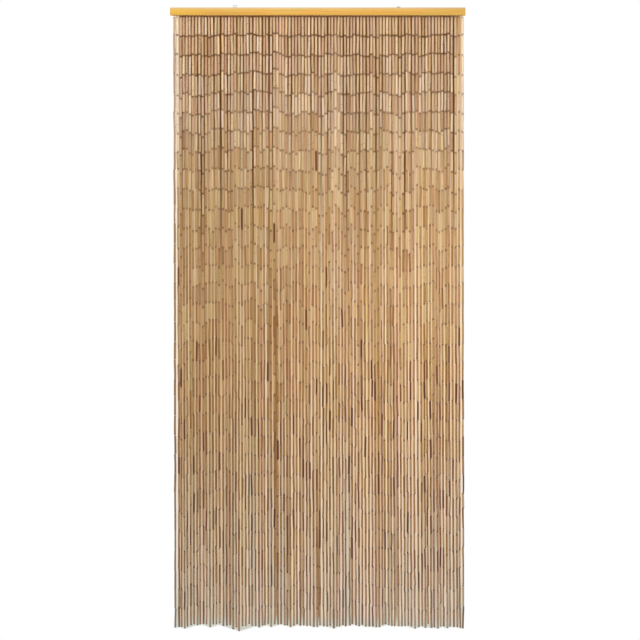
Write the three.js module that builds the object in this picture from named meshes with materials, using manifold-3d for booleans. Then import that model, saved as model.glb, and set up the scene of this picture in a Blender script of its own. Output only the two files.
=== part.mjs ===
// A door curtain of bamboo tubes. Ninety strands hang from a thin strip let into the underside of a
// varnished wooden rail, and two wire screw eyes in the top of the rail hold the whole curtain up.
// Millimetres, +Z up. The width runs along X, the front looks along -Y, and the origin is the middle
// of the rail's top face. Strands are numbered from 0 at the left, as seen from the front.

import * as THREE from "three";
import { mergeVertices } from "three/addons/utils/BufferGeometryUtils.js";
import Module from "manifold-3d";

const wasm = await Module();
wasm.setup();

// Rail: a planed batten with eased edges and a groove along its underside
const RAIL_LENGTH = 1000;
const RAIL_HEIGHT = 26;
const RAIL_THICKNESS = 14;
const RAIL_EDGE_RADIUS = 1.2;
const GROOVE_WIDTH = 9;
const GROOVE_DEPTH = 5;

// Clearance between pieces that touch
const FIT_GAP = 0.3;

// Hanger strip: lies in the groove, flush with the rail's underside, and carries the strands
const STRIP_END_MARGIN = 2;
const STRIP_WIDTH = GROOVE_WIDTH - 2 * FIT_GAP;
const STRIP_HEIGHT = GROOVE_DEPTH - FIT_GAP;

// Screw eyes: an oval ring of round wire on a straight shank, each screwed in by its own amount. The
// right ring is bent over towards the back, so it stands lower.
const EYE_WIRE_RADIUS = 0.9;
const EYE_RING_HALF_WIDTH = 6;
const EYE_RING_HALF_HEIGHT = 3.35;
const EYE_SHANK_DEPTH = 14;
const EYE_SHANK_RADIUS = 1.3;
const EYES = [
  { name: "eye_left", x: -280, neck: 0.6, lean: 0 },
  { name: "eye_right", x: 274, neck: 0.5, lean: 64 },
];

// Strands: four-sided, as wide as one bamboo tube, straight for four tubes at a time
const STRAND_COUNT = 90;
const STRAND_WIDTH = 6.8;
const FIRST_STRAND_X = -485;
const LAST_STRAND_X = 491;
const TUBE_PITCH = 64.6;
const TUBES_PER_BEND = 4;
const BENDS = 7;
const STRAND_LENGTH = 2067;
const ROOT_DEPTH = 3;

// Wider (+) and narrower (-) places in the row: what the space after a strand gains, and the number
// of strands over which the push to either side dies away
const PARTINGS = [
  { after: 0, atRail: 1.8, atFoot: 1.8 },
  { after: 1, atRail: -2.2, atFoot: -2.2 },
  { after: 7, atRail: 1, atFoot: -1 },
  { after: 12, atRail: 1.7, atFoot: 0.6 },
  { after: 13, atRail: -1.2, atFoot: 0 },
  { after: 14, atRail: 1.9, atFoot: 1.6 },
  { after: 19, atRail: 1.8, atFoot: -1.2 },
  { after: 22, atRail: -1.2, atFoot: 0.5 },
  { after: 24, atRail: 2.7, atFoot: 1.6 },
  { after: 25, atRail: -1, atFoot: 0 },
  { after: 27, atRail: 1.4, atFoot: -2.2 },
  { after: 29, atRail: 1.2, atFoot: 0 },
  { after: 32, atRail: -1.1, atFoot: -1.8 },
  { after: 33, atRail: -1.4, atFoot: 0.8 },
  { after: 35, atRail: 0.6, atFoot: -1.2 },
  { after: 42, atRail: 0, atFoot: 1.5 },
  { after: 46, atRail: 0, atFoot: 1.3 },
  { after: 50, atRail: 0, atFoot: -1.4 },
  { after: 52, atRail: 1.2, atFoot: -1.2 },
  { after: 58, atRail: -0.5, atFoot: 1.3 },
  { after: 61, atRail: -1.5, atFoot: 0.3 },
  { after: 64, atRail: 1, atFoot: -0.6 },
  { after: 68, atRail: 0, atFoot: 1.5 },
  { after: 74, atRail: 0.4, atFoot: 1.7 },
  { after: 77, atRail: 0.4, atFoot: -1.6 },
  { after: 79, atRail: 1.6, atFoot: 0.4 },
  { after: 83, atRail: 0, atFoot: 1.8 },
  { after: 85, atRail: 0.4, atFoot: 1.4 },
  { after: 87, atRail: -1.2, atFoot: 0 },
];
const PARTING_REACH = 5;

// How far the roots and the feet lie to the right of even places along the row, how far the middles
// bow to the right of a straight strand, and how much longer the strands are
const ROW_SHIFTS = [
  { strand: 0, atRail: 0, atMiddle: 0.2, atFoot: 3.6, longer: 6 },
  { strand: 1, atRail: -3.6, atMiddle: 1.8, atFoot: 2.2, longer: 6 },
  { strand: 2, atRail: -0.4, atMiddle: -0.2, atFoot: 2, longer: 5 },
  { strand: 6, atRail: -3.8, atMiddle: -0.6, atFoot: 0.6, longer: -1.5 },
  { strand: 12, atRail: -3, atMiddle: -0.2, atFoot: 1.2, longer: -3 },
  { strand: 18, atRail: -3.2, atMiddle: 0, atFoot: 0.2, longer: 5.5 },
  { strand: 28, atRail: -4.6, atMiddle: -0.6, atFoot: -0.6, longer: -0.5 },
  { strand: 42, atRail: -4.8, atMiddle: -0.8, atFoot: 0.2, longer: 1.5 },
  { strand: 46, atRail: -1.6, atMiddle: -0.6, atFoot: 0.2, longer: 2 },
  { strand: 56, atRail: -5.8, atMiddle: -1, atFoot: 1.4, longer: 2.5 },
  { strand: 63, atRail: -2, atMiddle: -1.2, atFoot: 3, longer: 0 },
  { strand: 70, atRail: -4.6, atMiddle: -2.2, atFoot: 2, longer: 3.5 },
  { strand: 77, atRail: -1.2, atMiddle: -0.8, atFoot: 4.8, longer: 7 },
  { strand: 86, atRail: -5, atMiddle: -2, atFoot: 2.6, longer: 7 },
  { strand: 89, atRail: 0.4, atMiddle: -0.4, atFoot: 2, longer: 7 },
];

// Strands that end well below (+) or above (-) their neighbours
const ODD_ENDS = [
  { strand: 3, longer: 7 },
  { strand: 11, longer: 9 },
  { strand: 14, longer: -7 },
  { strand: 17, longer: -6 },
  { strand: 18, longer: 8 },
  { strand: 20, longer: 15 },
  { strand: 23, longer: -7 },
  { strand: 26, longer: 6 },
  { strand: 29, longer: -5 },
  { strand: 30, longer: 5 },
  { strand: 36, longer: 5 },
  { strand: 38, longer: -5 },
  { strand: 49, longer: 8 },
  { strand: 55, longer: -7 },
  { strand: 62, longer: 6 },
  { strand: 63, longer: 6 },
  { strand: 78, longer: -12 },
];

// Hand-threaded unevenness of every strand: the spread of each small random shift
const ROOT_SPREAD = 0.35;
const FOOT_SPREAD = 0.5;
const BEND_SPREAD = 0.25;
const DEPTH_SPREAD = 1.2;
const END_SPREAD = 2;
const RANDOM_SEED = 4385;

// Finishes
const honeyVarnish = new THREE.MeshStandardMaterial({ color: 0xe6b257, roughness: 0.35, metalness: 0 });
const bamboo = new THREE.MeshStandardMaterial({ color: 0xc69a6c, roughness: 0.6, metalness: 0 });
const plainSteel = new THREE.MeshStandardMaterial({ color: 0xb4b3ae, roughness: 0.35, metalness: 1 });

// A closed geometry as a solid that can be joined and cut
function solidFrom(geometry) {
  const bare = geometry.clone();
  bare.deleteAttribute("normal");
  bare.deleteAttribute("uv");
  const merged = mergeVertices(bare, 1e-4);
  const shape = new wasm.Mesh({
    numProp: 3,
    vertProperties: merged.attributes.position.array,
    triVerts: new Uint32Array(merged.index.array),
  });
  return new wasm.Manifold(shape);
}

// A solid as a named mesh with its finish
function meshFrom(solid, name, material) {
  const shape = solid.getMesh();
  const geometry = new THREE.BufferGeometry();
  geometry.setAttribute("position", new THREE.BufferAttribute(shape.vertProperties, 3));
  geometry.setIndex(new THREE.BufferAttribute(shape.triVerts, 1));
  geometry.computeVertexNormals();
  const mesh = new THREE.Mesh(geometry, material);
  mesh.name = name;
  return mesh;
}

// The rail's end profile, with its top edge on the height 0 and the groove open at the underside
function railProfile() {
  const half = RAIL_THICKNESS / 2;
  const radius = RAIL_EDGE_RADIUS;
  const profile = new THREE.Shape();
  profile.moveTo(-half + radius, -RAIL_HEIGHT);
  profile.lineTo(-GROOVE_WIDTH / 2, -RAIL_HEIGHT);
  profile.lineTo(-GROOVE_WIDTH / 2, -RAIL_HEIGHT + GROOVE_DEPTH);
  profile.lineTo(GROOVE_WIDTH / 2, -RAIL_HEIGHT + GROOVE_DEPTH);
  profile.lineTo(GROOVE_WIDTH / 2, -RAIL_HEIGHT);
  profile.absarc(half - radius, -RAIL_HEIGHT + radius, radius, -Math.PI / 2, 0, false);
  profile.absarc(half - radius, -radius, radius, 0, Math.PI / 2, false);
  profile.absarc(-half + radius, -radius, radius, Math.PI / 2, Math.PI, false);
  profile.absarc(-half + radius, -RAIL_HEIGHT + radius, radius, Math.PI, 1.5 * Math.PI, false);
  return profile;
}

// The rail, with a pilot bore for the shank of each eye
function makeRail() {
  const options = { depth: RAIL_LENGTH, bevelEnabled: false, curveSegments: 2 };
  const geometry = new THREE.ExtrudeGeometry(railProfile(), options);
  geometry.translate(0, 0, -RAIL_LENGTH / 2);
  const alongX = new THREE.Matrix4().makeBasis(
    new THREE.Vector3(0, 1, 0),
    new THREE.Vector3(0, 0, 1),
    new THREE.Vector3(1, 0, 0),
  );
  geometry.applyMatrix4(alongX);
  let solid = solidFrom(geometry);
  for (const eye of EYES) {
    const boreRadius = EYE_SHANK_RADIUS + FIT_GAP;
    const boreDepth = EYE_SHANK_DEPTH + FIT_GAP;
    const bore = new THREE.CylinderGeometry(boreRadius, boreRadius, 2 * boreDepth, 16);
    bore.rotateX(Math.PI / 2);
    bore.translate(eye.x, 0, 0);
    solid = solid.subtract(solidFrom(bore));
  }
  return meshFrom(solid, "rail", honeyVarnish);
}

// One screw eye: the ring faces the front, and leans towards the back by its own angle
function makeEye(eye) {
  const ring = new THREE.TorusGeometry(EYE_RING_HALF_WIDTH, EYE_WIRE_RADIUS, 10, 24);
  const points = ring.attributes.position;
  for (let i = 0; i < points.count; i += 1) {
    const distance = Math.hypot(points.getX(i), points.getY(i));
    const rise = points.getY(i) / distance;
    points.setY(i, points.getY(i) + rise * (EYE_RING_HALF_HEIGHT - EYE_RING_HALF_WIDTH));
  }
  const shankTop = eye.neck + EYE_WIRE_RADIUS;
  ring.translate(0, EYE_RING_HALF_HEIGHT, 0);
  ring.rotateX(Math.PI / 2 - THREE.MathUtils.degToRad(eye.lean));
  ring.translate(eye.x, 0, shankTop);
  const shankLength = shankTop + EYE_SHANK_DEPTH;
  const shank = new THREE.CylinderGeometry(EYE_SHANK_RADIUS, EYE_SHANK_RADIUS, shankLength, 12);
  shank.rotateX(Math.PI / 2);
  shank.translate(eye.x, 0, shankTop - shankLength / 2);
  return meshFrom(solidFrom(ring).add(solidFrom(shank)), eye.name, plainSteel);
}

// Repeatable random numbers: each call gives the next one, near 0 and seldom past -2 or 2
function spreadNumbers(seed) {
  let state = seed;
  const next = () => {
    state = (state * 16807) % 2147483647;
    return state / 2147483647;
  };
  return () => 2 * (next() + next() + next() - 1.5);
}

// What the row's table gives for a strand, at one of its levels
function rowShift(strand, level) {
  const right = Math.max(1, ROW_SHIFTS.findIndex((row) => row.strand >= strand));
  const [from, to] = [ROW_SHIFTS[right - 1], ROW_SHIFTS[right]];
  const share = (strand - from.strand) / (to.strand - from.strand);
  return from[level] + share * (to[level] - from[level]);
}

// How far all the partings together push a strand to the right, at the rail or at the foot
function partingShift(strand, level) {
  let shift = 0;
  for (const row of PARTINGS) {
    const away = strand - row.after - 0.5;
    const fade = Math.exp(-(Math.abs(away) - 0.5) / PARTING_REACH);
    shift += 0.5 * Math.sign(away) * fade * row[level];
  }
  return shift;
}

// The middle line of one strand, from its root in the strip down to its end
function strandRoute(strand, spread) {
  const pitch = (LAST_STRAND_X - FIRST_STRAND_X) / (STRAND_COUNT - 1);
  const evenX = FIRST_STRAND_X + strand * pitch;
  const shiftAt = (level) => rowShift(strand, level) + partingShift(strand, level);
  const rootX = evenX + shiftAt("atRail") + ROOT_SPREAD * spread();
  const footX = evenX + shiftAt("atFoot") + FOOT_SPREAD * spread();
  const footY = DEPTH_SPREAD * spread();
  const odd = ODD_ENDS.find((row) => row.strand === strand);
  const ownLength = odd ? odd.longer : END_SPREAD * spread();
  const length = STRAND_LENGTH + rowShift(strand, "longer") + ownLength;
  const route = [
    new THREE.Vector3(rootX, 0, -RAIL_HEIGHT + ROOT_DEPTH),
    new THREE.Vector3(rootX, 0, -RAIL_HEIGHT),
  ];
  for (let bend = 1; bend <= BENDS; bend += 1) {
    const drop = bend * TUBES_PER_BEND * TUBE_PITCH;
    const share = drop / STRAND_LENGTH;
    const bow = 4 * share * (1 - share) * rowShift(strand, "atMiddle");
    const x = rootX + share * (footX - rootX) + bow + BEND_SPREAD * spread();
    const y = share * footY + BEND_SPREAD * spread();
    route.push(new THREE.Vector3(x, y, -RAIL_HEIGHT - drop));
  }
  route.push(new THREE.Vector3(footX, footY, -RAIL_HEIGHT - length));
  return route;
}

// A square bar that follows a route, with level steps
function barAlong(route) {
  const steps = route.length - 1;
  const bar = new THREE.BoxGeometry(STRAND_WIDTH, STRAND_WIDTH, steps, 1, 1, steps);
  const corners = bar.attributes.position;
  for (let i = 0; i < corners.count; i += 1) {
    const point = route[Math.round(steps / 2 - corners.getZ(i))];
    corners.setXYZ(i, corners.getX(i) + point.x, corners.getY(i) + point.y, point.z);
  }
  return bar;
}

// The hanger strip with every strand fused to it by its root
function makeStrands() {
  const stripLength = RAIL_LENGTH - 2 * STRIP_END_MARGIN;
  const strip = new THREE.BoxGeometry(stripLength, STRIP_WIDTH, STRIP_HEIGHT);
  strip.translate(0, 0, -RAIL_HEIGHT + STRIP_HEIGHT / 2);
  const spread = spreadNumbers(RANDOM_SEED);
  let solid = solidFrom(strip);
  for (let strand = 0; strand < STRAND_COUNT; strand += 1) {
    solid = solid.add(solidFrom(barAlong(strandRoute(strand, spread))));
  }
  return meshFrom(solid, "strands", bamboo);
}

const curtain = new THREE.Group();
curtain.add(makeRail());
for (const eye of EYES) {
  curtain.add(makeEye(eye));
}
curtain.add(makeStrands());

export default curtain;
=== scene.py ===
import math

import bpy
import numpy as np
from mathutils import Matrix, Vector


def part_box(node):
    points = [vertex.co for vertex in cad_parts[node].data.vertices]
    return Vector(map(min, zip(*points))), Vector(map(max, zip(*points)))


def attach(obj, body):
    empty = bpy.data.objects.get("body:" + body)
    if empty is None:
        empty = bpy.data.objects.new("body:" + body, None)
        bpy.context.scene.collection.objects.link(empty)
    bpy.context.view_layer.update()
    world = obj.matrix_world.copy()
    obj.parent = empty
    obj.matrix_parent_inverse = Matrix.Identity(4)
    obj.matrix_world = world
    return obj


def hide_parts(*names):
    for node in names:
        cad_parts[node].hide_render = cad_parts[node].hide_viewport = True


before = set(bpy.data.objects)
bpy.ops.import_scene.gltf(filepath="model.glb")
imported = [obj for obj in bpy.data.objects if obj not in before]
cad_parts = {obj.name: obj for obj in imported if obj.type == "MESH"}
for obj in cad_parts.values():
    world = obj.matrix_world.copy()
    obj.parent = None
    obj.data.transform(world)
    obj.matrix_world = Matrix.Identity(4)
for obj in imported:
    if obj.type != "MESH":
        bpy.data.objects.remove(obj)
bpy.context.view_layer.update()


# Rail: one planed batten of pale wood under honey-yellow varnish. Its edges are eased, a groove
# along its underside takes the hanger strip, and a pilot bore in its top takes each screw eye.
RAIL_LOW, RAIL_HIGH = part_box("rail")
RAIL_EDGE = 0.0008
GROOVE_WIDTH = 0.009
GROOVE_DEPTH = 0.005
BORE_RADIUS = 0.0016
BORE_DEPTH = 0.0143
CUT_PAST = 0.01
EYE_NAMES = ("eye_left", "eye_right")
YELLOWED_END = (0.02, 0.15)
GREYED_TOP_EDGE = (0.008, 0.002)
PAINTED_LIGHT_UNDERNEATH = 0.0015


def linear(red, green, blue):
    """A colour as a display shows it, 0 to 255, as the scene-linear colour that a shader takes."""
    shares = [channel / 255 for channel in (red, green, blue)]
    return [s / 12.92 if s <= 0.04045 else ((s + 0.055) / 1.055) ** 2.4 for s in shares] + [1.0]


def add_box(name, low, high):
    """A box primitive between two corners, alone selected, with its place kept in its mesh."""
    bpy.ops.object.select_all(action="DESELECT")
    middle = [(a + b) / 2 for a, b in zip(low, high)]
    bpy.ops.mesh.primitive_cube_add(size=1, location=middle)
    box = bpy.context.object
    box.scale = [b - a for a, b in zip(low, high)]
    bpy.ops.object.transform_apply(location=True, rotation=True, scale=True)
    box.name = name
    return box


def apply_modifier(piece, kind, **settings):
    """Gives the piece one modifier and applies it."""
    modifier = piece.modifiers.new(kind, kind)
    for name, value in settings.items():
        setattr(modifier, name, value)
    bpy.context.view_layer.objects.active = piece
    bpy.ops.object.modifier_apply(modifier=modifier.name)


def cut_away(piece, cutter):
    """Cuts the cutter's form out of the piece and throws the cutter away."""
    apply_modifier(piece, "BOOLEAN", operation="DIFFERENCE", object=cutter, solver="EXACT")
    bpy.data.objects.remove(cutter)


def add_node(tree, kind, inputs=None, **settings):
    """Adds a node. A socket in inputs takes a value, or is linked to another node's output."""
    node = tree.nodes.new(kind)
    for name, value in settings.items():
        setattr(node, name, value)
    for socket, value in (inputs or {}).items():
        if isinstance(value, bpy.types.NodeSocket):
            tree.links.new(value, node.inputs[socket])
        else:
            node.inputs[socket].default_value = value
    return node


def mix_colours(tree, share, first, second, how="MIX"):
    """A colour between two others, by a share from 0 to 1."""
    inputs = {0: share, 6: first, 7: second}
    return add_node(tree, "ShaderNodeMix", inputs, data_type="RGBA", blend_type=how).outputs[2]


def calculate(tree, operation, first, second=0.0):
    """What one arithmetic step makes of two values."""
    return add_node(tree, "ShaderNodeMath", {0: first, 1: second}, operation=operation).outputs[0]


def stretch_range(tree, value, low, high, new_low=0.0, new_high=1.0):
    """A value whose range low to high is spread over a new one, and held at its ends."""
    inputs = {"Value": value, "From Min": low, "From Max": high, "To Min": new_low, "To Max": new_high}
    return add_node(tree, "ShaderNodeMapRange", inputs).outputs[0]


def add_ramp(tree, value, stops):
    """A colour ramp with a display colour at each stop."""
    ramp = add_node(tree, "ShaderNodeValToRGB", {"Fac": value})
    elements = ramp.color_ramp.elements
    while len(elements) < len(stops):
        elements.new(1.0)
    for element, (position, colour) in zip(elements, stops):
        element.position = position
        element.color = linear(*colour)
    return ramp.outputs["Color"]


def new_material(name, plain_values):
    """A material with one Principled shader, whose plain values are set on its own sockets."""
    material = bpy.data.materials.new(name)
    material.use_nodes = True
    tree = material.node_tree
    tree.nodes.clear()
    shader = add_node(tree, "ShaderNodeBsdfPrincipled", plain_values)
    add_node(tree, "ShaderNodeOutputMaterial", {"Surface": shader.outputs[0]})
    return material, tree, shader


def make_fibre_group():
    """Long fibres of wood or bamboo: broad streaks, fine threads, and the height of both."""
    group = bpy.data.node_groups.new("fibres", "ShaderNodeTree")
    group.interface.new_socket(name="Vector", in_out="INPUT", socket_type="NodeSocketVector")
    group.interface.new_socket(name="Offset", in_out="INPUT", socket_type="NodeSocketFloat")
    for output in ("Broad", "Fine", "Height"):
        group.interface.new_socket(name=output, in_out="OUTPUT", socket_type="NodeSocketFloat")
    start = add_node(group, "NodeGroupInput")
    shared = {"Vector": start.outputs["Vector"], "W": start.outputs["Offset"]}
    broad_inputs = {**shared, "Scale": 1.0, "Detail": 2.0, "Roughness": 0.5}
    broad = add_node(group, "ShaderNodeTexNoise", broad_inputs, noise_dimensions="4D")
    fine_inputs = {**shared, "Scale": 3.7, "Detail": 3.0, "Roughness": 0.6}
    fine = add_node(group, "ShaderNodeTexNoise", fine_inputs, noise_dimensions="4D")
    broad_mask = stretch_range(group, broad.outputs[0], 0.3, 0.7)
    fine_mask = stretch_range(group, fine.outputs[0], 0.3, 0.7)
    height = calculate(group, "ADD", broad_mask, calculate(group, "MULTIPLY", fine_mask, 0.6))
    add_node(group, "NodeGroupOutput", {"Broad": broad_mask, "Fine": fine_mask, "Height": height})
    return group


FIBRES = make_fibre_group()


def add_fibres(tree, stretch, offset=0.0):
    """The fibres on Object coordinates, with how many streaks fit in a metre along each axis."""
    place = add_node(tree, "ShaderNodeTexCoord").outputs["Object"]
    mapped = add_node(tree, "ShaderNodeMapping", {"Vector": place, "Scale": stretch}).outputs[0]
    inputs = {"Vector": mapped, "Offset": offset}
    return add_node(tree, "ShaderNodeGroup", inputs, node_tree=FIBRES).outputs


def add_bump(tree, shader, height, distance, strength):
    """Raises the surface by a height, without moving the mesh."""
    inputs = {"Height": height, "Distance": distance, "Strength": strength}
    bump = add_node(tree, "ShaderNodeBump", inputs)
    tree.links.new(bump.outputs[0], shader.inputs["Normal"])


def make_varnished_wood():
    """Pale wood under honey-yellow varnish: grain along the rail, a clear coat, a greyer top edge and
    painted light on the underside.
    """
    finish = {"Roughness": 0.5, "Coat Weight": 0.3, "Coat Roughness": 0.25, "Specular IOR Level": 0.35}
    material, tree, shader = new_material("varnished_wood", finish)
    grain = add_fibres(tree, (5.0, 260.0, 260.0))
    honey = [(0.0, (186, 137, 48)), (0.35, (194, 147, 56)), (0.7, (200, 154, 64)), (1.0, (206, 163, 76))]
    colour = add_ramp(tree, grain["Broad"], honey)
    patches = add_fibres(tree, (9.0, 40.0, 40.0), 7.0)
    patch = add_ramp(tree, patches["Broad"], [(0.0, (255, 242, 226)), (1.0, (248, 255, 255))])
    colour = mix_colours(tree, 1.0, colour, patch, "MULTIPLY")
    place = add_node(tree, "ShaderNodeTexCoord").outputs["Object"]
    axes = add_node(tree, "ShaderNodeSeparateXYZ", {0: place}).outputs
    fullest, none_left = [RAIL_LOW.x + reach for reach in YELLOWED_END]
    yellowed = stretch_range(tree, axes["X"], fullest, none_left, 0.7, 0.0)
    colour = mix_colours(tree, yellowed, colour, linear(206, 158, 46))
    # The top edge is greyer and darker.
    none_yet, greyest_top = [RAIL_HIGH.z - drop for drop in GREYED_TOP_EDGE]
    greyed_top = stretch_range(tree, axes["Z"], none_yet, greyest_top, 0.0, 0.55)
    colour = mix_colours(tree, greyed_top, colour, linear(166, 158, 128))
    # Painted light: a band along the underside is painted lighter and more orange.
    painted_underside_light = stretch_range(tree, axes["Z"], RAIL_LOW.z + PAINTED_LIGHT_UNDERNEATH, RAIL_LOW.z, 0.0, 0.9)
    colour = mix_colours(tree, painted_underside_light, colour, linear(250, 186, 70))
    pores = calculate(tree, "MULTIPLY", stretch_range(tree, grain["Fine"], 0.75, 1.0), 0.35)
    colour = mix_colours(tree, pores, colour, linear(150, 96, 34))
    tree.links.new(colour, shader.inputs["Base Color"])
    add_bump(tree, shader, grain["Height"], 0.0001, 0.25)
    return material


rail = add_box("rail_batten", RAIL_LOW, RAIL_HIGH)
apply_modifier(rail, "BEVEL", width=RAIL_EDGE, segments=4, limit_method="ANGLE")
groove_low = (RAIL_LOW.x - CUT_PAST, -GROOVE_WIDTH / 2, RAIL_LOW.z - CUT_PAST)
groove_high = (RAIL_HIGH.x + CUT_PAST, GROOVE_WIDTH / 2, RAIL_LOW.z + GROOVE_DEPTH)
cut_away(rail, add_box("groove", groove_low, groove_high))
for eye_name in EYE_NAMES:
    eye_low, eye_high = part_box(eye_name)
    bore_place = ((eye_low.x + eye_high.x) / 2, 0, RAIL_HIGH.z)
    bpy.ops.object.select_all(action="DESELECT")
    bpy.ops.mesh.primitive_cylinder_add(radius=BORE_RADIUS, depth=2 * BORE_DEPTH, location=bore_place)
    cut_away(rail, bpy.context.object)
bpy.ops.object.select_all(action="DESELECT")
rail.select_set(True)
bpy.ops.object.shade_smooth_by_angle(angle=math.radians(35))
rail.data.materials.append(make_varnished_wood())
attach(rail, "root")
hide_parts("rail")


# Screw eyes: plated wire bent into an oval eye on a straight shank, one towards each end of the
# rail's top. They screw down into the bores and carry the curtain. The right one is bent back.
EYE_WIRE = 0.0009
EYE_SHANK = 0.0013
EYE_POINT = 0.0002
EYE_POINT_INSET = 0.6
NEARLY_UPRIGHT = 0.9
EYE_RING_SIZE = (0.006, 0.00335)
EYE_NECKS = {"eye_left": 0.0006, "eye_right": 0.0005}
EYE_LEANS = {"eye_left": 0.0, "eye_right": math.radians(64)}


def make_plated_steel():
    """Zinc-plated wire: pale grey metal with fine drawing lines and duller patches."""
    material, tree, shader = new_material("plated_steel", {"Metallic": 1.0})
    place = add_node(tree, "ShaderNodeTexCoord").outputs["Object"]
    cloud_inputs = {"Vector": place, "Scale": 900.0, "Detail": 3.0}
    cloud = add_node(tree, "ShaderNodeTexNoise", cloud_inputs).outputs[0]
    colour = add_ramp(tree, cloud, [(0.3, (70, 69, 67)), (0.7, (112, 111, 108))])
    tree.links.new(colour, shader.inputs["Base Color"])
    tree.links.new(stretch_range(tree, cloud, 0.3, 0.7, 0.6, 0.45), shader.inputs["Roughness"])
    add_bump(tree, shader, cloud, 0.00005, 0.2)
    return material


def add_oval_ring(foot, size, lean):
    """A closed wire bent into an oval that stands on its foot and leans back, as a mesh."""
    bpy.ops.object.select_all(action="DESELECT")
    bpy.ops.curve.primitive_bezier_circle_add(radius=1, rotation=(math.pi / 2 - lean, 0, 0))
    ring = bpy.context.object
    ring.scale = (size[0], size[1], 1)
    ring.location = np.array(foot) + size[1] * np.array((0, math.sin(lean), math.cos(lean)))
    bpy.ops.object.transform_apply(location=True, rotation=True, scale=True)
    ring.data.resolution_u = 8
    ring.data.bevel_depth = EYE_WIRE
    ring.data.bevel_resolution = 3
    bpy.ops.object.convert(target="MESH")
    return bpy.context.object


def add_shank(x, top, low):
    """The straight shank: a cylinder drawn in to a blunt point at its lower end."""
    bpy.ops.object.select_all(action="DESELECT")
    middle = (x, 0, (top + low) / 2)
    bpy.ops.mesh.primitive_cylinder_add(
        vertices=16, radius=EYE_SHANK, depth=top - low, location=middle
    )
    shank = bpy.context.object
    bpy.ops.object.transform_apply(location=True, rotation=True, scale=True)
    bpy.context.tool_settings.mesh_select_mode = (False, False, True)
    for face in shank.data.polygons:
        face.select = face.normal.z < -NEARLY_UPRIGHT
    bpy.ops.object.mode_set(mode="EDIT")
    bpy.ops.mesh.inset(thickness=EYE_SHANK * EYE_POINT_INSET)
    bpy.ops.transform.translate(value=(0, 0, -EYE_POINT))
    bpy.ops.object.mode_set(mode="OBJECT")
    return shank


plated_steel = make_plated_steel()
for eye_name in EYE_NAMES:
    eye_low, eye_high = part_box(eye_name)
    eye_x = (eye_low.x + eye_high.x) / 2
    shank_top = RAIL_HIGH.z + EYE_NECKS[eye_name] + EYE_WIRE
    ring = add_oval_ring((eye_x, 0, shank_top), EYE_RING_SIZE, EYE_LEANS[eye_name])
    shank = add_shank(eye_x, shank_top, eye_low.z + EYE_POINT)
    ring.select_set(True)
    bpy.context.view_layer.objects.active = ring
    bpy.ops.object.join()
    bpy.ops.object.shade_smooth_by_angle(angle=math.radians(40))
    ring.name = eye_name + "_wire"
    ring.data.materials.clear()
    ring.data.materials.append(plated_steel)
    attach(ring, "root")
    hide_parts(eye_name)


# Hanger strip: a thin lath pressed into the rail's groove, flush with its underside. It is pale
# wood, wiped thinly with the rail's varnish, and every strand's staple is driven into it.
STRIP_END_MARGIN = 0.002
STRIP_WIDTH = 0.0084
STRIP_HEIGHT = 0.0047
STRIP_EDGE = 0.0003


def make_plain_wood():
    """Softwood with a thin wipe of varnish: pale matt grain with darker lines."""
    material, tree, shader = new_material("plain_wood", {"Roughness": 0.75, "Specular IOR Level": 0.25})
    grain = add_fibres(tree, (6.0, 420.0, 420.0), 3.0)
    pale = [(0.0, (206, 148, 74)), (0.5, (230, 172, 92)), (1.0, (240, 188, 112))]
    colour = add_ramp(tree, grain["Broad"], pale)
    lines = calculate(tree, "MULTIPLY", stretch_range(tree, grain["Fine"], 0.6, 1.0), 0.4)
    colour = mix_colours(tree, lines, colour, linear(128, 86, 48))
    tree.links.new(colour, shader.inputs["Base Color"])
    add_bump(tree, shader, grain["Height"], 0.0002, 0.4)
    return material


strip_low = (RAIL_LOW.x + STRIP_END_MARGIN, -STRIP_WIDTH / 2, RAIL_LOW.z)
strip_high = (RAIL_HIGH.x - STRIP_END_MARGIN, STRIP_WIDTH / 2, RAIL_LOW.z + STRIP_HEIGHT)
strip = add_box("hanger_strip", strip_low, strip_high)
apply_modifier(strip, "BEVEL", width=STRIP_EDGE, segments=2, limit_method="ANGLE")
strip.data.materials.append(make_plain_wood())
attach(strip, "root")


# Strands: each hangs on a wire of its own from a staple in the strip. Their routes come from the
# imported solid, which has one square ring of corners for each strand at the rail and at each bend.
CURTAIN_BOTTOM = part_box("strands")[0].z
SQUARE = 4
STRIP_CORNER_SLACK = 0.0005
INSIDE_STRIP_X = RAIL_HIGH.x - STRIP_END_MARGIN - STRIP_CORNER_SLACK
LEVEL_SLACK = 1e-4


def read_strand_routes():
    """The middle lines of all strands, from the rail's underside to their feet, left to right."""
    points = np.array([vertex.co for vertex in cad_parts["strands"].data.vertices])
    corners = np.unique(points.round(5), axis=0)
    corners = corners[np.abs(corners[:, 0]) < INSIDE_STRIP_X]
    corners = corners[corners[:, 2] < RAIL_LOW.z + LEVEL_SLACK]
    levels, counts = np.unique(corners[:, 2], return_counts=True)
    full = levels[counts == counts.max()][::-1]
    rings = [corners[corners[:, 2] == level] for level in full]
    rings.append(corners[corners[:, 2] < full[-1]])
    middles = []
    for ring in rings:
        in_order = ring[np.argsort(ring[:, 0], kind="stable")]
        middles.append(in_order.reshape(-1, SQUARE, 3).mean(axis=1))
    return np.stack(middles, axis=1)


def points_at(route, drops):
    """The points of one strand that lie at the given distances below the rail."""
    depths = RAIL_LOW.z - route[:, 2]
    columns = [np.interp(drops, depths, route[:, axis]) for axis in (0, 1)]
    return np.stack([*columns, RAIL_LOW.z - drops], axis=1)


routes = read_strand_routes()


# Staples: one of bent steel wire for each strand, both legs driven up into the strip. Its crown
# stands a little below the wood, and the top ring of the strand's wire hangs over it.
STAPLE_WIRE = 0.0004
STAPLE_WIDTH = 0.0044
STAPLE_LEG = 0.003
STAPLE_PROUD = 0.0014


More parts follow.
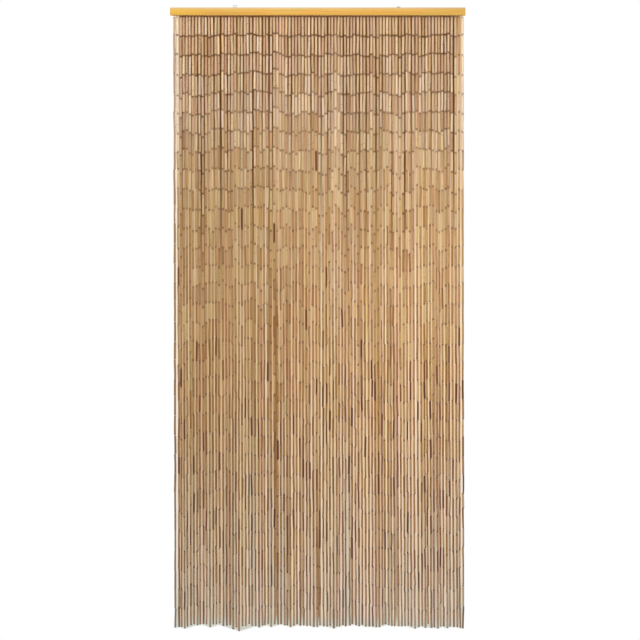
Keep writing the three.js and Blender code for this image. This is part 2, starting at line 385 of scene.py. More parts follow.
def join_copies(name, copies, faces, attributes=None):
    """One mesh from many copies of a shape, with a value on every vertex for each attribute."""
    count, per_copy = copies.shape[:2]
    starts = range(0, count * per_copy, per_copy)
    all_faces = [[start + corner for corner in face] for start in starts for face in faces]
    mesh = bpy.data.meshes.new(name)
    mesh.from_pydata(copies.reshape(-1, 3), [], all_faces)
    for label, values in (attributes or {}).items():
        layer = mesh.attributes.new(label, "FLOAT", "POINT")
        layer.data.foreach_set("value", np.broadcast_to(values, (count, per_copy)).ravel())
    piece = bpy.data.objects.new(name, mesh)
    bpy.context.scene.collection.objects.link(piece)
    bpy.ops.object.select_all(action="DESELECT")
    piece.select_set(True)
    bpy.context.view_layer.objects.active = piece
    return piece


def take_shape(model):
    """The vertices and faces of a modelled piece, which is then thrown away."""
    vertices = np.array([vertex.co for vertex in model.data.vertices])
    faces = [list(face.vertices) for face in model.data.polygons]
    bpy.data.objects.remove(model)
    return vertices, faces


def bend_wire(points, thickness, sides_added=0):
    """An open wire through some points, as a mesh with closed ends."""
    curve = bpy.data.curves.new("wire", "CURVE")
    curve.dimensions = "3D"
    curve.bevel_depth = thickness
    curve.bevel_resolution = sides_added
    curve.use_fill_caps = True
    spline = curve.splines.new("POLY")
    spline.points.add(len(points) - 1)
    for point, place in zip(spline.points, points):
        point.co = (*place, 1.0)
    wire = bpy.data.objects.new("wire", curve)
    bpy.context.scene.collection.objects.link(wire)
    bpy.ops.object.select_all(action="DESELECT")
    wire.select_set(True)
    bpy.context.view_layer.objects.active = wire
    bpy.ops.object.convert(target="MESH")
    return bpy.context.object


def make_dark_wire():
    """Annealed steel wire gone dull: dark rusty brown, with brighter specks."""
    material, tree, shader = new_material("dark_wire", {"Specular IOR Level": 0.1})
    place = add_node(tree, "ShaderNodeTexCoord").outputs["Object"]
    speck_inputs = {"Vector": place, "Scale": 1400.0, "Detail": 3.0}
    speck = add_node(tree, "ShaderNodeTexNoise", speck_inputs).outputs[0]
    rust = [(0.35, (66, 36, 14)), (0.6, (90, 52, 24)), (0.75, (118, 70, 36))]
    colour = add_ramp(tree, speck, rust)
    tree.links.new(colour, shader.inputs["Base Color"])
    tree.links.new(stretch_range(tree, speck, 0.3, 0.7, 0.45, 0.7), shader.inputs["Roughness"])
    add_bump(tree, shader, speck, 0.00005, 0.3)
    return material


dark_wire = make_dark_wire()
half, bend = STAPLE_WIDTH / 2, STAPLE_WIDTH / 8
staple_line = [
    (-half, 0, STAPLE_LEG),
    (-half, 0, -STAPLE_PROUD + bend),
    (-half + bend, 0, -STAPLE_PROUD),
    (half - bend, 0, -STAPLE_PROUD),
    (half, 0, -STAPLE_PROUD + bend),
    (half, 0, STAPLE_LEG),
]
staple_shape, staple_faces = take_shape(bend_wire(staple_line, STAPLE_WIRE))
staples = join_copies("staples", staple_shape[None, :, :] + routes[:, 0][:, None, :], staple_faces)
bpy.ops.object.shade_smooth_by_angle(angle=math.radians(60))
staples.data.materials.append(dark_wire)
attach(staples, "root")


# Strand wires: a length of thin wire runs through every tube, and each end is bent into a small
# ring that hooks through the next one, so the strand hinges at every joint and swings freely.
TUBES_PER_STRAND = 32
FIRST_TUBE_DROP = 0.0042
FOOT_RING_DROP = 0.0012
JOINT_GAP = 0.001
LENGTH_COURSES = (0, 5, 9, 12)
LENGTH_SPREADS = (0.0024, 0.003, 0.0044, 0.0044)
LENGTH_GAINS = (0.001, 0.001, 0.001, -0.0005)
LIKE_NEIGHBOUR = 0.5
SHORTEST_TUBE = 0.035
CUT_SHARE = 0.25
CORE_WIRE = 0.00045
RING_WIRE = 0.00035
RING_SIZE = (0.0011, 0.0016)
RANDOM_SEED = 41
random = np.random.default_rng(RANDOM_SEED)


def place_tubes():
    """Where each tube's two ends lie on its strand, and which strand it is on."""
    tops, feet, owners = [], [], []
    uneven = random.standard_normal((len(routes), TUBES_PER_STRAND))
    uneven[1:] += LIKE_NEIGHBOUR * uneven[:-1]
    courses = np.arange(TUBES_PER_STRAND)
    uneven *= np.interp(courses, LENGTH_COURSES, LENGTH_SPREADS)
    uneven += np.interp(courses, LENGTH_COURSES, LENGTH_GAINS)
    for strand, route in enumerate(routes):
        whole = RAIL_LOW.z - route[-1, 2] - FIRST_TUBE_DROP - FOOT_RING_DROP
        steps = whole / TUBES_PER_STRAND + uneven[strand]
        missing = whole - steps.sum()
        steps += missing * (1 - CUT_SHARE) / TUBES_PER_STRAND
        steps[-1] += missing * CUT_SHARE
        if steps[-1] < SHORTEST_TUBE:
            steps[:-1] -= (SHORTEST_TUBE - steps[-1]) / (TUBES_PER_STRAND - 1)
            steps[-1] = SHORTEST_TUBE
        starts = FIRST_TUBE_DROP + np.concatenate([[0], np.cumsum(steps)[:-1]])
        stops = starts + steps
        stops[:-1] -= JOINT_GAP
        tops.append(points_at(route, starts))
        feet.append(points_at(route, stops))
        owners.append(np.full(TUBES_PER_STRAND, strand))
    return np.concatenate(tops), np.concatenate(feet), np.concatenate(owners)


def model_ring():
    """One small ring of wire, as bent at the end of a length of it."""
    bpy.ops.object.select_all(action="DESELECT")
    bpy.ops.curve.primitive_bezier_circle_add(radius=1, rotation=(math.pi / 2, 0, 0))
    ring = bpy.context.object
    ring.scale = (*RING_SIZE, 1)
    bpy.ops.object.transform_apply(location=True, rotation=True, scale=True)
    ring.data.resolution_u = 2
    ring.data.bevel_depth = RING_WIRE
    ring.data.bevel_resolution = 0
    bpy.ops.object.convert(target="MESH")
    return bpy.context.object


def turn_copies(shape, turns):
    """The shape's vertices once for each turn, turned by it about the upright axis."""
    cosines, sines = np.cos(turns)[:, None], np.sin(turns)[:, None]
    x = shape[:, 0] * cosines - shape[:, 1] * sines
    y = shape[:, 0] * sines + shape[:, 1] * cosines
    z = np.broadcast_to(shape[:, 2], x.shape)
    return np.stack([x, y, z], axis=2)


tube_tops, tube_feet, tube_owners = place_tubes()
straight = np.array([(0, 0, 0), (0, 0, 1)])
wire_shape, wire_faces = take_shape(bend_wire(straight, CORE_WIRE, 1))
along = wire_shape[:, 2][None, :, None]
wire_lines = tube_feet[:, None, :] + along * (tube_tops - tube_feet)[:, None, :]
wire_lines[:, :, :2] += wire_shape[None, :, :2]
core_wires = join_copies("core_wires", wire_lines, wire_faces)
bpy.ops.object.shade_smooth_by_angle(angle=math.radians(60))
core_wires.data.materials.append(dark_wire)
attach(core_wires, "root")
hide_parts("strands")

ring_shape, ring_faces = take_shape(model_ring())
hooks = [(0, 0, -STAPLE_PROUD)] + routes[:, 0]
ring_places = np.concatenate([tube_feet - (0, 0, JOINT_GAP / 2), hooks])
ring_turns = random.uniform(0, 2 * math.pi, len(ring_places))
ring_turns[-len(hooks):] = math.pi / 2
ring_copies = turn_copies(ring_shape, ring_turns) + ring_places[:, None, :]
joint_rings = join_copies("joint_rings", ring_copies, ring_faces)
bpy.ops.object.shade_smooth_by_angle(angle=math.radians(60))
joint_rings.data.materials.append(dark_wire)
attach(joint_rings, "root")
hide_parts("strands")


# Bamboo tubes: short lengths of thin culm, sawn off square and left with their natural skin.
# Thirty-two of them are threaded on each strand's wire, and no two are the same length or colour.
# The first strand is greyer and dimmer, painted shade, and two more strands near the sides start with
# cream-white tubes, painted light. All tubes are painted darker towards the foot, painted shade.
TUBE_RADIUS = 0.0034
TUBE_LENGTH = 0.0634
TUBE_WALL = 0.0014
TUBE_RIM = 0.0004
TUBE_SIDES = 10
RADIUS_SPREAD = 0.08
RADIUS_LIMITS = (0.8, 1.2)
THICKER_ABOVE = 0.14
LEAN_SPREAD = 0.0005
BOW_SPREAD = 0.00025
TAPER_SPREAD = 0.03
# The tone middles fall towards the foot: painted shade, for light that fades down the curtain.
TONE_DEPTHS = (0.0, 0.12, 0.3, 0.45, 0.6, 0.76, 1.0)
TONE_MIDDLES = (0.77, 0.86, 0.83, 0.74, 0.56, 0.51, 0.51)
TONE_SPREADS = (0.12, 0.15, 0.16, 0.18, 0.19, 0.19, 0.18)
DARK_SHARES = (0.0, 0.0, 0.003, 0.01, 0.05, 0.08, 0.05)
DARK_BELOW = 0.12
LIGHTNESS_SPREAD = 0.05
LIGHTNESS_LIMITS = (0.85, 1.15)
# Painted light: below the top, tubes are painted lighter towards the right and darker towards the left.
PAINTED_LIGHT_RIGHT = 0.22
PAINTED_LIGHT_RIGHT_DEPTHS = (0.08, 0.3)
NODE_SHARE = 0.18
NODE_PLACES = (0.15, 0.85)
NO_NODE = -1
MARK_DEPTHS = (0, 0.12, 0.3, 0.6)
MARK_STRENGTHS = (0.85, 0.68, 0.75, 0.9)
MARK_SPREAD = (0.55, 1.15)
STRONGEST_MARK = 0.95
FIRST_STRAND_TONE, FIRST_STRAND_DARKENING = 0.75, 0.2
FIRST_STRAND_HUES = (0.78, 0.95)
FIRST_STRAND_MARKS = 0.4
FIRST_STRAND_DIMMING = 0.1
# Painted light: the top tubes of the second and the last strand are cream-white and brighter.
CREAM_ABOVE = 0.22
CREAM_TONE, CREAM_HUE, CREAM_LIGHTNESS = 1.0, 0.9, 1.2
BAMBOO_GROUPS = {"bamboo_left": (0, 30), "bamboo_middle": (30, 60), "bamboo_right": (60, 90)}


def select_only(piece, kind, chosen):
    """Opens the piece for editing, with only those faces or edges selected that chosen picks."""
    bpy.ops.object.mode_set(mode="OBJECT")
    mesh = piece.data
    for part in (*mesh.vertices, *mesh.edges, *mesh.polygons):
        part.select = False
    by_edge = kind == "edges"
    bpy.context.tool_settings.mesh_select_mode = (False, by_edge, not by_edge)
    for part in mesh.edges if by_edge else mesh.polygons:
        part.select = chosen(part)
    bpy.ops.object.mode_set(mode="EDIT")


def model_tube():
    """One tube: a cylinder with its ends inset and bored through, its rims eased, and a middle ring."""
    bpy.ops.object.select_all(action="DESELECT")
    bpy.ops.mesh.primitive_cylinder_add(vertices=TUBE_SIDES, radius=TUBE_RADIUS, depth=TUBE_LENGTH)
    tube = bpy.context.object

    def ends(edge):
        return [tube.data.vertices[index].co for index in edge.vertices]

    def outside(edge):
        return all(point.xy.length > TUBE_RADIUS - TUBE_RIM / 2 for point in ends(edge))

    def rise(edge):
        return abs(ends(edge)[0].z - ends(edge)[1].z)

    select_only(tube, "faces", lambda face: abs(face.normal.z) > NEARLY_UPRIGHT)
    bpy.ops.mesh.inset(thickness=TUBE_WALL, use_individual=True)
    bpy.ops.mesh.bridge_edge_loops()
    select_only(tube, "edges", lambda edge: outside(edge) and rise(edge) < LEVEL_SLACK)
    bpy.ops.mesh.bevel(offset=TUBE_RIM, segments=1)
    select_only(tube, "edges", lambda edge: outside(edge) and rise(edge) > TUBE_LENGTH / 2)
    bpy.ops.mesh.subdivide(number_cuts=1)
    bpy.ops.object.mode_set(mode="OBJECT")
    return tube


def copy_tubes(shape, tops, feet):
    """The shape's vertices once for each tube, each copy stretched, thickened, bowed and leaned."""
    count = len(tops)
    lengths = np.linalg.norm(tops - feet, axis=1)
    turns = random.uniform(0, 2 * math.pi, count)
    down = (RAIL_LOW.z - tops[:, 2]) / (RAIL_LOW.z - CURTAIN_BOTTOM)
    radii = 1 + RADIUS_SPREAD * random.standard_normal(count) + THICKER_ABOVE * (1 - 2 * down)
    radii = np.clip(radii, *RADIUS_LIMITS)
    tapers = TAPER_SPREAD * random.standard_normal(count)
    leans = LEAN_SPREAD * random.standard_normal((2, count, 2))
    bows = BOW_SPREAD * random.standard_normal((count, 2))
    share = 0.5 + np.sign(shape[:, 2]) * 0.5
    on_middle = np.abs(shape[:, 2]) < TUBE_LENGTH / 4
    share[on_middle] = 0.5
    rim_offset = np.where(on_middle, 0, shape[:, 2] - np.sign(shape[:, 2]) * TUBE_LENGTH / 2)
    widths = radii[:, None] * (1 + tapers[:, None] * (share[None, :] - 0.5) * 2)
    cosines, sines = np.cos(turns)[:, None], np.sin(turns)[:, None]
    x = widths * (shape[:, 0] * cosines - shape[:, 1] * sines)
    y = widths * (shape[:, 0] * sines + shape[:, 1] * cosines)
    top_ends = tops.copy()
    foot_ends = feet.copy()
    top_ends[:, :2] += leans[0]
    foot_ends[:, :2] += leans[1]
    axis_points = foot_ends[:, None, :] + share[None, :, None] * (top_ends - foot_ends)[:, None, :]
    x += axis_points[:, :, 0] + on_middle * bows[:, 0:1]
    y += axis_points[:, :, 1] + on_middle * bows[:, 1:2]
    z = axis_points[:, :, 2] + rim_offset
    heights = share * lengths[:, None] + rim_offset
    return np.stack([x, y, z], axis=2), heights, lengths


def read_value(tree, label):
    """The value that a mesh carries on its vertices under this label."""
    return add_node(tree, "ShaderNodeAttribute", attribute_name=label).outputs["Fac"]


def make_bamboo():
    """Bamboo skin: a tone for each tube, long fibres, dark sawn ends and here and there a culm node."""
    finish = {"Specular IOR Level": 0.45, "Coat Roughness": 0.3}
    material, tree, shader = new_material("bamboo_skin", finish)
    tones = [
        (0.0, (106, 58, 34)),
        (0.07, (116, 70, 42)),
        (0.14, (130, 84, 50)),
        (0.28, (150, 104, 61)),
        (0.42, (170, 127, 79)),
        (0.55, (178, 138, 99)),
        (0.66, (186, 149, 109)),
        (0.78, (190, 158, 124)),
        (0.9, (199, 169, 130)),
        (1.0, (214, 188, 153)),
    ]
    hues = [
        (0.0, (255, 247, 220)),
        (0.12, (250, 250, 252)),
        (0.25, (255, 243, 246)),
        (0.38, (255, 250, 230)),
        (0.5, (250, 250, 254)),
        (0.62, (247, 250, 230)),
        (0.72, (255, 246, 250)),
        (0.8, (250, 250, 255)),
        (0.93, (243, 247, 253)),
        (1.0, (255, 255, 238)),
    ]
    seed = read_value(tree, "seed")
    colour = add_ramp(tree, read_value(tree, "tone"), tones)
    colour = mix_colours(tree, 1.0, colour, add_ramp(tree, seed, hues), "MULTIPLY")
    fibres = add_fibres(tree, (700.0, 700.0, 16.0), calculate(tree, "MULTIPLY", seed, 40.0))
    streak = stretch_range(tree, fibres["Broad"], 0.0, 1.0, 0.84, 1.14)
    thread = stretch_range(tree, fibres["Fine"], 0.0, 1.0, 0.9, 1.08)
    light = calculate(tree, "MULTIPLY", streak, thread)
    light = calculate(tree, "MULTIPLY", light, read_value(tree, "lightness"))
    grey = add_node(tree, "ShaderNodeCombineColor", {0: light, 1: light, 2: light}).outputs[0]
    colour = mix_colours(tree, 1.0, colour, grey, "MULTIPLY")
    height, length = read_value(tree, "height"), read_value(tree, "length")
    from_end = calculate(tree, "MINIMUM", height, calculate(tree, "SUBTRACT", length, height))
    sawn = stretch_range(tree, from_end, 0.0046, 0.0015)
    sawn = calculate(tree, "MULTIPLY", sawn, read_value(tree, "end_mark"))
    colour = mix_colours(tree, sawn, colour, linear(98, 54, 2))
    clear_coat = calculate(tree, "MULTIPLY", calculate(tree, "SUBTRACT", 1.0, sawn), 0.15)
    tree.links.new(clear_coat, shader.inputs["Coat Weight"])
    from_node = calculate(tree, "SUBTRACT", height, read_value(tree, "node_height"))
    from_node = calculate(tree, "ABSOLUTE", from_node)
    node_line = stretch_range(tree, from_node, 0.0003, 0.0011, 0.75, 0.0)
    colour = mix_colours(tree, node_line, colour, linear(104, 70, 40))
    place = add_node(tree, "ShaderNodeTexCoord").outputs["Object"]
    height_here = add_node(tree, "ShaderNodeSeparateXYZ", {0: place}).outputs["Z"]
    depth = stretch_range(tree, height_here, RAIL_LOW.z, CURTAIN_BOTTOM)
    # Painted shade: a darker band just under the rail. Below it the tubes are tinted by height, bluer
    # near the top and warmer through the middle.
    rail_shade_and_height_tint = [
        (0.0, (228, 224, 216)),
        (0.012, (255, 255, 255)),
        (0.06, (255, 256, 260)),
        (0.16, (255, 258, 267)),
        (0.24, (255, 254, 244)),
        (0.31, (255, 250, 226)),
        (0.46, (255, 248, 221)),
        (0.56, (255, 246, 208)),
        (0.68, (255, 246, 208)),
        (0.85, (255, 253, 246)),
        (1.0, (255, 255, 255)),
    ]
    colour = mix_colours(tree, 1.0, colour, add_ramp(tree, depth, rail_shade_and_height_tint), "MULTIPLY")
    dust = stretch_range(tree, depth, 0.88, 1.0, 0.0, 0.3)
    colour = mix_colours(tree, dust, colour, linear(176, 158, 140))
    tree.links.new(colour, shader.inputs["Base Color"])
    dull = stretch_range(tree, fibres["Fine"], 0.0, 1.0, 0.36, 0.56)
    dull = calculate(tree, "MAXIMUM", dull, calculate(tree, "MULTIPLY", sawn, 0.95))
    tree.links.new(dull, shader.inputs["Roughness"])
    relief = calculate(tree, "ADD", fibres["Height"], calculate(tree, "MULTIPLY", node_line, 2.0))
    add_bump(tree, shader, relief, 0.0001, 0.5)
    return material


tube_shape, tube_faces = take_shape(model_tube())
tube_copies, tube_heights, tube_lengths = copy_tubes(tube_shape, tube_tops, tube_feet)
tube_total = len(tube_copies)
tube_down = (RAIL_LOW.z - tube_tops[:, 2]) / (RAIL_LOW.z - CURTAIN_BOTTOM)
# Painted shade: each tube's tone is drawn round a middle that falls towards the foot.
tone_middle = np.interp(tube_down, TONE_DEPTHS, TONE_MIDDLES)
tone_spread = np.interp(tube_down, TONE_DEPTHS, TONE_SPREADS)
tube_tones = tone_middle + tone_spread * random.standard_normal(tube_total)
tube_tones = np.clip(tube_tones, DARK_BELOW, 1)
dark_share = np.interp(tube_down, TONE_DEPTHS, DARK_SHARES)
dark_draws = random.uniform(0, 1, (2, tube_total))
is_dark = dark_draws[0] < dark_share
tube_tones[is_dark] = DARK_BELOW * dark_draws[1, is_dark]
tube_lightness = 1 + LIGHTNESS_SPREAD * random.standard_normal(tube_total)
tube_lightness = np.clip(tube_lightness, *LIGHTNESS_LIMITS)
# Painted light: lighter towards the right, darker towards the left.
tube_lightness += PAINTED_LIGHT_RIGHT * tube_tops[:, 0] * np.interp(tube_down, PAINTED_LIGHT_RIGHT_DEPTHS, (0, 1))
tube_seeds = random.uniform(0, 1, tube_total)
# Painted shade: the first strand is greyer and dimmer, darker towards its foot, with fainter joint
# marks.
shaded_first_strand = tube_owners == 0
tube_tones[shaded_first_strand] = FIRST_STRAND_TONE - FIRST_STRAND_DARKENING * tube_down[shaded_first_strand]
tube_seeds[shaded_first_strand] = random.uniform(*FIRST_STRAND_HUES, shaded_first_strand.sum())
node_places = tube_lengths * random.uniform(*NODE_PLACES, tube_total)
node_places[random.uniform(0, 1, tube_total) > NODE_SHARE] = NO_NODE
mark_strength = np.interp(tube_down, MARK_DEPTHS, MARK_STRENGTHS)
end_marks = np.clip(mark_strength * random.uniform(*MARK_SPREAD, tube_total), 0, STRONGEST_MARK)
end_marks[shaded_first_strand] *= FIRST_STRAND_MARKS
tube_lightness[shaded_first_strand] -= FIRST_STRAND_DIMMING
# Painted light: cream-white, brighter tubes at the top of the second and the last strand.
cream = np.isin(tube_owners, (1, len(routes) - 1)) & (tube_down < CREAM_ABOVE)
tube_tones[cream] = CREAM_TONE
tube_seeds[cream] = CREAM_HUE
tube_lightness[cream] = CREAM_LIGHTNESS
bamboo = make_bamboo()
for group_name, (first, past_last) in BAMBOO_GROUPS.items():
    here = (tube_owners >= first) & (tube_owners < past_last)
    values = {
        "tone": tube_tones[here, None],
        "lightness": tube_lightness[here, None],
        "seed": tube_seeds[here, None],
        "height": tube_heights[here],
        "length": tube_lengths[here, None],
        "node_height": node_places[here, None],
        "end_mark": end_marks[here, None],
    }
    tubes = join_copies(group_name, tube_copies[here], tube_faces, values)
    bpy.ops.object.shade_smooth_by_angle(angle=math.radians(40))
    tubes.data.materials.append(bamboo)
    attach(tubes, "root")
    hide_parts("strands")


# Stage: a white wall close behind, with the shade that the curtain throws on it painted in, a pale
# floor, two soft lights, and the camera straight in front. None of it belongs to the curtain.
# Each gap between two strands has its own shade: how far it reaches down, its greyness and its tint.
WALL_Y = 0.04
WALL_HALF_WIDTH = 4.0
FLOOR_Z = -2.35
FLOOR_SIZE = 24
WALL_TOP = 2.0
WALL_COLUMNS = 4000
WALL_ROWS = 24
GAP_DELAY_PER_METRE = 35
GAP_DELAY_SPREAD = 0.09
GAP_DELAY_LIMITS = (-0.13, 0.27)
GAP_DELAY_NEAR_END = -0.3
GAP_GREY_MOST = 0.75
GAP_SEED_MOST = 1000
GAP_DRIFT_PER_METRE = 0.6
FIRST_GAP_REACH = (0.008, 0.002)
LAST_GAP_REACH = (0.006, 0.002)
WALL_SHADE_DROP = 0.007
WALL_SHADE_SLOPE = 0.3
NEAR_FEET = (0.04, 0.008)
PAST_FEET = (0.004, -0.003)
BEHIND_RAIL = (0.008, 0.014)
PAST_SIDES = (0.0005, -0.0015)
WORLD_LIGHT = 0.48
PHOTO_WIDTH = 640
METRES_PER_PIXEL = 0.0033875
CAMERA_DISTANCE = 6.0
CAMERA_X = 0.0078
CAMERA_Z = -1.0578
SENSOR = 36.0


def add_drift(tree, spot, start):
    """A slow wandering from 0 to 1 down each gap, another one for each start."""
    inputs = {"Vector": spot, "W": start, "Scale": 1.0, "Detail": 2.0}
    return add_node(tree, "ShaderNodeTexNoise", inputs, noise_dimensions="4D").outputs[0]


def shade_gaps(tree, axes, depth):
    """The wall in the gaps: dark brown near the rail, pale below it, and paler still at the feet."""
    shade = [
        (0.0, (106, 72, 38)),
        (0.09, (120, 83, 48)),
        (0.17, (164, 126, 88)),
        (0.28, (208, 168, 124)),
        (0.42, (232, 194, 148)),
        (0.6, (236, 199, 157)),
        (0.84, (230, 206, 174)),
        (1.0, (224, 208, 190)),
    ]
    grows = stretch_range(tree, depth, 0.0, 0.1, 0.5, 1.0)
    fades = stretch_range(tree, depth, 0.34, 0.55, 1.0, 0.35)
    delay = calculate(tree, "MINIMUM", grows, fades)
    delay = calculate(tree, "MULTIPLY", read_value(tree, "gap_delay"), delay)
    colour = add_ramp(tree, calculate(tree, "SUBTRACT", depth, delay), shade)
    drift = calculate(tree, "MULTIPLY", axes["Z"], GAP_DRIFT_PER_METRE)
    spot_inputs = {"X": read_value(tree, "gap_seed"), "Z": drift}
    spot = add_node(tree, "ShaderNodeCombineXYZ", spot_inputs).outputs[0]
    bright = add_drift(tree, spot, 0.5)
    dim = stretch_range(tree, bright, 0.5, 0.3)
    dim = calculate(tree, "MULTIPLY", dim, stretch_range(tree, depth, 0.0, 0.3, 0.3, 1.0))
    colour = mix_colours(tree, dim, colour, linear(176, 146, 120), "MULTIPLY")
    lit = stretch_range(tree, bright, 0.5, 0.68, 0.0, 0.75)
    lit = calculate(tree, "MULTIPLY", lit, stretch_range(tree, depth, 0.12, 0.4))
    colour = mix_colours(tree, lit, colour, linear(248, 228, 200))
    tints = [
        (0.34, (255, 238, 242)),
        (0.46, (255, 248, 246)),
        (0.54, (255, 251, 240)),
        (0.66, (254, 251, 224)),
    ]
    tint = add_ramp(tree, add_drift(tree, spot, 5.5), tints)
    colour = mix_colours(tree, 1.0, colour, tint, "MULTIPLY")
    sides = [
        (0.1, (230, 227, 221)),
        (0.26, (238, 241, 241)),
        (0.43, (253, 254, 260)),
        (0.59, (249, 250, 254)),
        (0.75, (270, 273, 284)),
        (0.91, (261, 261, 266)),
    ]
    across = stretch_range(tree, axes["X"], RAIL_LOW.x, RAIL_HIGH.x)
    sided = stretch_range(tree, depth, 0.0, 0.1, 0.4, 1.0)
    sided = calculate(tree, "MINIMUM", sided, stretch_range(tree, depth, 0.75, 0.95, 1.0, 0.5))
    colour = mix_colours(tree, sided, colour, add_ramp(tree, across, sides), "MULTIPLY")
    greyed = stretch_range(tree, depth, 0.5, 0.95)
    greyed = calculate(tree, "MULTIPLY", read_value(tree, "gap_grey"), greyed)
    return mix_colours(tree, greyed, colour, linear(196, 192, 178))


def lighten_outer_gaps(tree, axes, depth, colour, first_gap, last_gap):
    """The first and the last gap, where daylight reaches the wall from the side, are cream."""
    cream = [
        (0.0, (238, 212, 178)),
        (0.16, (244, 222, 194)),
        (0.3, (254, 234, 210)),
        (0.7, (248, 230, 210)),
        (0.88, (240, 223, 208)),
        (0.97, (210, 204, 188)),
    ]
    right_shade = [
        (0.0, (226, 212, 196)),
        (0.2, (240, 228, 212)),
        (0.45, (255, 250, 240)),
        (1.0, (255, 252, 244)),
    ]
    in_first = stretch_range(tree, axes["X"], *(first_gap + reach for reach in FIRST_GAP_REACH))
    in_last = stretch_range(tree, axes["X"], *(last_gap - reach for reach in LAST_GAP_REACH))
    outer_gaps = calculate(tree, "MAXIMUM", in_first, in_last)
    colour = mix_colours(tree, outer_gaps, colour, add_ramp(tree, depth, cream))
    return mix_colours(tree, in_last, colour, add_ramp(tree, depth, right_shade), "MULTIPLY")


def find_open_wall(tree, axes, depth, over_edge):
    """Where the wall is white: above the rail, below the feet, and past the first and last strand."""
    below = stretch_range(tree, over_edge, *PAST_FEET)
    above = stretch_range(tree, axes["Z"], *(RAIL_LOW.z + height for height in BEHIND_RAIL))
    left_line = stretch_range(tree, depth, 0.0, 1.0, routes[0, 0, 0], routes[0, -1, 0])
    right_line = stretch_range(tree, depth, 0.0, 1.0, routes[-1, 0, 0], routes[-1, -1, 0])
    from_left = calculate(tree, "SUBTRACT", axes["X"], left_line)
    from_right = calculate(tree, "SUBTRACT", right_line, axes["X"])
    past_left = stretch_range(tree, from_left, *PAST_SIDES)
    past_right = stretch_range(tree, from_right, *PAST_SIDES)
    beside = calculate(tree, "MAXIMUM", past_left, past_right)
    return calculate(tree, "MAXIMUM", beside, calculate(tree, "MAXIMUM", below, above))


def make_wall_paint(first_gap, last_gap):
    """Plain white as the camera sees it, with the warm shade behind the curtain, clear from behind."""
    material = bpy.data.materials.new("wall_paint")
    material.use_nodes = True
    tree = material.node_tree
    tree.nodes.clear()
    place = add_node(tree, "ShaderNodeTexCoord").outputs["Object"]
    axes = add_node(tree, "ShaderNodeSeparateXYZ", {0: place}).outputs
    depth = stretch_range(tree, axes["Z"], RAIL_LOW.z, CURTAIN_BOTTOM)
    colour = shade_gaps(tree, axes, depth)
    colour = lighten_outer_gaps(tree, axes, depth, colour, first_gap, last_gap)
    # Painted shadow: just below the feet the wall's shade turns grey-green and fades out.
    over_edge = calculate(tree, "SUBTRACT", axes["Z"], read_value(tree, "shade_edge"))
    near_edge = stretch_range(tree, over_edge, *NEAR_FEET)
    colour = mix_colours(tree, near_edge, colour, linear(204, 204, 192))
    open_wall = find_open_wall(tree, axes, depth, over_edge)
    colour = mix_colours(tree, open_wall, colour, linear(255, 255, 255))
    # The wall glows with these colours, painted shade and painted light included, and takes no light.
    glow = add_node(tree, "ShaderNodeEmission", {"Color": colour, "Strength": 1.0}).outputs[0]
    clear = add_node(tree, "ShaderNodeBsdfTransparent").outputs[0]
    behind = add_node(tree, "ShaderNodeNewGeometry").outputs["Backfacing"]
    surface = add_node(tree, "ShaderNodeMixShader", {0: behind, 1: glow, 2: clear}).outputs[0]
    add_node(tree, "ShaderNodeOutputMaterial", {"Surface": surface})
    return material


def make_floor_paint():
    """Plain pale matt floor."""
    material, _, shader = new_material("floor_paint", {"Roughness": 0.9, "Specular IOR Level": 0.1})
    shader.inputs["Base Color"].default_value = linear(232, 230, 226)
    return material


def add_soft_light(name, place, aim, size, power):
    """A rectangular soft light at a place, aimed at a point."""
    lamp = bpy.data.lights.new(name, "AREA")
    lamp.shape = "RECTANGLE"
    lamp.size, lamp.size_y = size
    lamp.energy = power
    light = bpy.data.objects.new(name, lamp)
    bpy.context.scene.collection.objects.link(light)
    place, aim = np.array(place), np.array(aim)
    light.location = place
    way = Vector(aim - place)
    light.rotation_euler = way.to_track_quat("-Z", "Y").to_euler()


bpy.ops.object.select_all(action="DESELECT")
bpy.ops.mesh.primitive_grid_add(
    x_subdivisions=WALL_COLUMNS, y_subdivisions=WALL_ROWS, size=1, rotation=(math.pi / 2, 0, 0)
)
wall = bpy.context.object
wall.scale = (2 * WALL_HALF_WIDTH, WALL_TOP - FLOOR_Z, 1)
wall.location = (0, WALL_Y, (WALL_TOP + FLOOR_Z) / 2)
bpy.ops.object.transform_apply(location=True, rotation=True, scale=True)
wall.name = "stage_wall"
wall_points = np.array([vertex.co for vertex in wall.data.vertices])
wall_x, wall_z = wall_points[:, 0], wall_points[:, 2]
from_strands = np.abs(wall_x[:, None] - routes[None, :, -1, 0])
edge_heights = (routes[None, :, -1, 2] + WALL_SHADE_SLOPE * from_strands).min(axis=1)
edge_heights -= WALL_SHADE_DROP
gap_widths = np.diff(routes[:, 1, 0])
gap_delays = GAP_DELAY_PER_METRE * (gap_widths - gap_widths.mean())
gap_delays += GAP_DELAY_SPREAD * random.standard_normal(len(gap_delays))
gap_delays = np.clip(gap_delays, *GAP_DELAY_LIMITS)
gap_delays[-2] = GAP_DELAY_NEAR_END
gap_greys = GAP_GREY_MOST * random.uniform(0, 1, len(gap_delays)) ** 2
gap_seeds = random.uniform(0, GAP_SEED_MOST, len(gap_delays))
gap_here = np.zeros(len(wall_x), int)
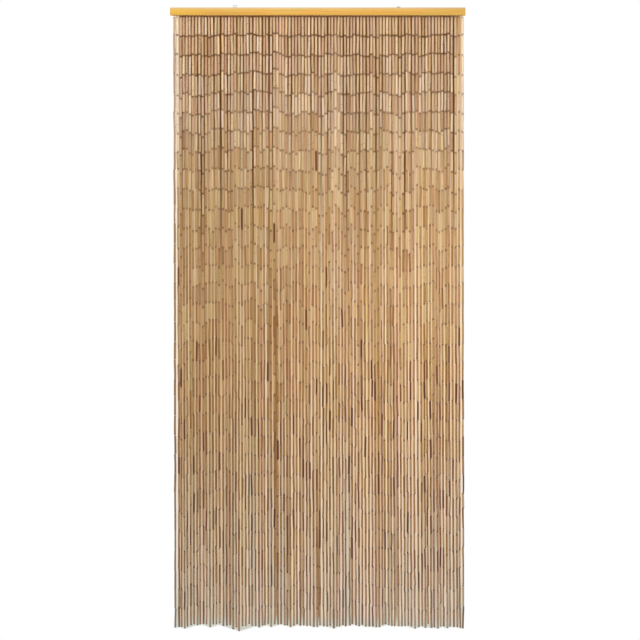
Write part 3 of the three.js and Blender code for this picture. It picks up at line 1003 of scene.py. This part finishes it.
for level in np.unique(wall_z.round(5)):
    on_level = np.abs(wall_z - level) < LEVEL_SLACK
    strands_here = [points_at(route, np.array([RAIL_LOW.z - level]))[0, 0] for route in routes]
    gap_here[on_level] = np.searchsorted(strands_here, wall_x[on_level]) - 1
gap_here = np.clip(gap_here, 0, len(gap_delays) - 1)
wall_values = {
    "shade_edge": edge_heights,
    "gap_delay": gap_delays[gap_here],
    "gap_grey": gap_greys[gap_here],
    "gap_seed": gap_seeds[gap_here],
}
for label, values in wall_values.items():
    wall.data.attributes.new(label, "FLOAT", "POINT").data.foreach_set("value", values)
outer_gaps_x = [(routes[a, :, 0] + routes[b, :, 0]).mean() / 2 for a, b in ((0, 1), (-2, -1))]
wall.data.materials.append(make_wall_paint(*outer_gaps_x))
wall.visible_diffuse = False
wall.visible_glossy = False
wall.visible_shadow = False
wall.visible_transmission = False

bpy.ops.object.select_all(action="DESELECT")
bpy.ops.mesh.primitive_plane_add(size=FLOOR_SIZE, location=(0, 0, FLOOR_Z))
floor = bpy.context.object
bpy.ops.object.transform_apply(location=True, rotation=True, scale=True)
floor.name = "stage_floor"
floor.data.materials.append(make_floor_paint())

world = bpy.data.worlds.new("studio")
world.use_nodes = True
background = world.node_tree.nodes["Background"]
background.inputs["Color"].default_value = linear(250, 250, 250)
background.inputs["Strength"].default_value = WORLD_LIGHT
bpy.context.scene.world = world
add_soft_light("key_above", place=(-0.1, -1.5, 1.1), aim=(0, 0, -0.5), size=(2.4, 1.0), power=61)
add_soft_light("fill_behind", place=(0.3, 2.6, 0.2), aim=(0, 0, -1.0), size=(2.4, 1.6), power=36)

camera = bpy.data.objects.new("camera", bpy.data.cameras.new("camera"))
bpy.context.scene.collection.objects.link(camera)
camera.location = (CAMERA_X, -CAMERA_DISTANCE, CAMERA_Z)
camera.rotation_euler = (math.pi / 2, 0, 0)
camera.data.sensor_width = SENSOR
camera.data.lens = SENSOR * CAMERA_DISTANCE / (PHOTO_WIDTH * METRES_PER_PIXEL)
bpy.context.scene.camera = camera
bpy.context.scene.view_settings.view_transform = "Standard"
